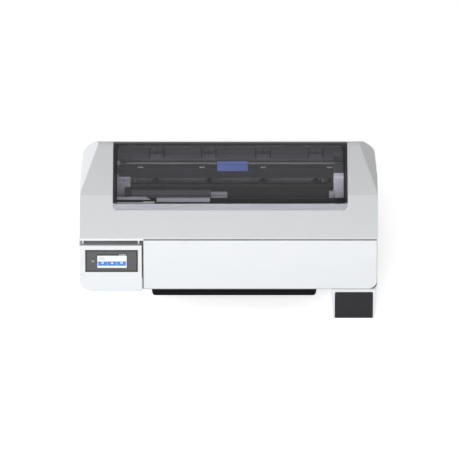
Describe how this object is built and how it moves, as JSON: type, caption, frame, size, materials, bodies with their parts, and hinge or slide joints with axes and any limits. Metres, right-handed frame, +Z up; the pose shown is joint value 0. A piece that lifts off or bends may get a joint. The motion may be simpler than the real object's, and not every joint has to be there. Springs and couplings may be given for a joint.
{
  "type": "large format printer",
  "caption": "Wide paper-roll printer body with a tinted hinged top cover, tilting touch panel, hinged front and back covers, and an ink tank box hanging under its right end.",
  "frame": {"origin": "centre of the four stand bolt holes, on the underside of the black bottom tray", "axes": "+X to the right seen from the front, +Y to the back, +Z up"},
  "size_m": [0.9715, 0.5778, 0.349],
  "materials": {
    "white_shell": "fine satin texture",
    "tinted_sheet": "smoked clear sheet",
    "black_plastic": "satin",
    "dark_plastic": "satin",
    "light_plastic": "satin",
    "grey_plastic": "satin",
    "bezel": "semi-gloss",
    "screen": null,
    "steel": "zinc plated",
    "dark_steel": "black coated",
    "bracket_steel": "grey coated",
    "pin_steel": "ground",
    "rubber": "matte",
    "aluminium": "satin",
    "motor_can": "plated can",
    "clear_strip": "clear film",
    "brass": "machined",
    "blue_plastic": "satin",
    "board": "green board",
    "ink_black": "translucent tank",
    "ink_cyan": "translucent tank",
    "ink_magenta": "translucent tank",
    "ink_yellow": "translucent tank",
    "cap_black": "matte",
    "cap_cyan": "matte",
    "cap_magenta": "matte",
    "cap_yellow": "matte"
  },
  "bodies": {
    "chassis": {"base_pan": "steel", "bottom_tray": "black_plastic", "cap_seal": "rubber", "capping_station": "dark_plastic", "carriage_belt": "rubber", "carriage_motor": "motor_can", "carriage_rail": "dark_steel", "control_board": "board", "cutter_rail": "dark_steel", "data_ports": "pin_steel", "encoder_strip": "clear_strip", "exit_guide": "dark_steel", "feed_motor": "motor_can", "hinge_pins": "pin_steel", "ink_tank_black": "ink_black", "ink_tank_cyan": "ink_cyan", "ink_tank_housing": "white_shell", "ink_tank_magenta": "ink_magenta", "ink_tank_yellow": "ink_yellow", "left_side_cover": "white_shell", "left_side_frame": "steel", "panel_recess": "grey_plastic", "pinch_brackets": "bracket_steel", "platen": "dark_plastic", "platen_supports": "steel", "power_inlet": "black_plastic", "power_supply": "steel", "rear_cover": "white_shell", "ridge_beam": "dark_steel", "right_side_cover": "white_shell", "right_side_frame": "steel", "roll_holders": "dark_plastic", "steel_brackets": "steel", "upper_cover": "white_shell"},
    "printer_cover": {"printer_cover": "tinted_sheet", "cover_rim": "black_plastic"},
    "roll_cover": {"roll_cover": "white_shell"},
    "front_cover": {"front_cover": "white_shell"},
    "control_panel": {"control_panel_housing": "white_shell", "control_panel_bezel": "bezel", "touch_screen": "screen"},
    "power_button": {"power_button": "bezel"},
    "carriage": {"carriage": "light_plastic", "print_head": "pin_steel"},
    "drive_pulley": {"drive_pulley": "aluminium"},
    "idler_pulley": {"idler_pulley": "aluminium"},
    "feed_roller": {"feed_roller": "rubber", "feed_gear": "grey_plastic"},
    "feed_pinion": {"feed_pinion": "brass"},
    "pinch_arms": {"pinch_arms": "dark_plastic"},
    "pinch_rollers": {"pinch_rollers": "rubber"},
    "release_handle": {"release_handle": "blue_plastic"},
    "paper_cutter": {"paper_cutter": "grey_plastic"},
    "roll_spindle": {"roll_spindle": "grey_plastic"},
    "ink_tank_cover": {"ink_tank_cover": "dark_plastic"},
    "waste_ink_box": {"waste_ink_box": "dark_plastic"},
    "tank_cap_black": {"tank_cap_black": "cap_black"},
    "tank_cap_cyan": {"tank_cap_cyan": "cap_cyan"},
    "tank_cap_magenta": {"tank_cap_magenta": "cap_magenta"},
    "tank_cap_yellow": {"tank_cap_yellow": "cap_yellow"}
  },
  "joints": [
    {"name": "printer_cover_hinge", "type": "hinge", "parent": "chassis", "child": "printer_cover", "pos_m": [0, 0.2465, 0.235], "axis": [-1, 0, 0], "range_deg": [0, 65]},
    {"name": "roll_cover_hinge", "type": "hinge", "parent": "chassis", "child": "roll_cover", "pos_m": [0, 0.263, 0.215], "axis": [1, 0, 0], "range_deg": [0, 60]},
    {"name": "front_cover_hinge", "type": "hinge", "parent": "chassis", "child": "front_cover", "pos_m": [0, -0.2816, 0.0385], "axis": [1, 0, 0], "range_deg": [0, 90]},
    {"name": "control_panel_tilt", "type": "hinge", "parent": "chassis", "child": "control_panel", "pos_m": [0, -0.259, 0.207], "axis": [-1, 0, 0], "range_deg": [0, 40]},
    {"name": "power_button_press", "type": "slide", "parent": "control_panel", "child": "power_button", "axis": [0, 0.9961, -0.0879], "range_m": [0, 0.0015], "stiffness_N_per_m": 400},
    {"name": "carriage_slide", "type": "slide", "parent": "chassis", "child": "carriage", "axis": [-1, 0, 0], "range_m": [0, 0.712]},
    {"name": "drive_pulley_spin", "type": "hinge", "parent": "chassis", "child": "drive_pulley", "pos_m": [0.442, 0.159, 0.209], "axis": [0, 0, 1], "range_deg": [-10, 4099]},
    {"name": "idler_pulley_spin", "type": "hinge", "parent": "chassis", "child": "idler_pulley", "pos_m": [-0.366, 0.159, 0.209], "axis": [0, 0, 1], "range_deg": [-10, 4099]},
    {"name": "feed_roller_spin", "type": "hinge", "parent": "chassis", "child": "feed_roller", "pos_m": [0, 0.161, 0.125], "axis": [1, 0, 0], "continuous": true},
    {"name": "feed_pinion_spin", "type": "hinge", "parent": "chassis", "child": "feed_pinion", "pos_m": [-0.403, 0.161, 0.16265], "axis": [1, 0, 0], "continuous": true},
    {"name": "pinch_lift", "type": "hinge", "parent": "chassis", "child": "pinch_arms", "pos_m": [0, 0.201, 0.207], "axis": [-1, 0, 0], "range_deg": [0, 5]},
    {"name": "pinch_roller_spin", "type": "hinge", "parent": "pinch_arms", "child": "pinch_rollers", "pos_m": [0, 0.161, 0.1453], "axis": [1, 0, 0], "continuous": true},
    {"name": "release_handle_turn", "type": "hinge", "parent": "chassis", "child": "release_handle", "pos_m": [0.012, 0.1451, 0.2002], "axis": [1, 0, 0], "range_deg": [0, 35]},
    {"name": "paper_cutter_slide", "type": "slide", "parent": "chassis", "child": "paper_cutter", "axis": [1, 0, 0], "range_m": [-0.27, 0.33]},
    {"name": "roll_spindle_spin", "type": "hinge", "parent": "chassis", "child": "roll_spindle", "pos_m": [0, 0.223, 0.091], "axis": [1, 0, 0], "continuous": true},
    {"name": "ink_tank_cover_hinge", "type": "hinge", "parent": "chassis", "child": "ink_tank_cover", "pos_m": [0.3455, -0.282, 0.0137], "axis": [-1, 0, 0], "range_deg": [0, 85]},
    {"name": "waste_ink_box_slide", "type": "slide", "parent": "chassis", "child": "waste_ink_box", "axis": [1, 0, 0], "range_m": [0, 0.11]},
    {"name": "tank_cap_black_pull", "type": "slide", "parent": "chassis", "child": "tank_cap_black", "axis": [0, -1, 0], "range_m": [0, 0.008]},
    {"name": "tank_cap_cyan_pull", "type": "slide", "parent": "chassis", "child": "tank_cap_cyan", "axis": [0, -1, 0], "range_m": [0, 0.008]},
    {"name": "tank_cap_magenta_pull", "type": "slide", "parent": "chassis", "child": "tank_cap_magenta", "axis": [0, -1, 0], "range_m": [0, 0.008]},
    {"name": "tank_cap_yellow_pull", "type": "slide", "parent": "chassis", "child": "tank_cap_yellow", "axis": [0, -1, 0], "range_m": [0, 0.008]}
  ],
  "couplings": [
    {"joint": "drive_pulley_spin", "follows": "carriage_slide", "rad_per_m": 100},
    {"joint": "idler_pulley_spin", "follows": "carriage_slide", "rad_per_m": 100},
    {"joint": "feed_pinion_spin", "follows": "feed_roller_spin", "ratio": -4},
    {"joint": "pinch_roller_spin", "follows": "feed_roller_spin", "ratio": -2.3333},
    {"joint": "release_handle_turn", "follows": "pinch_lift", "ratio": 7}
  ]
}
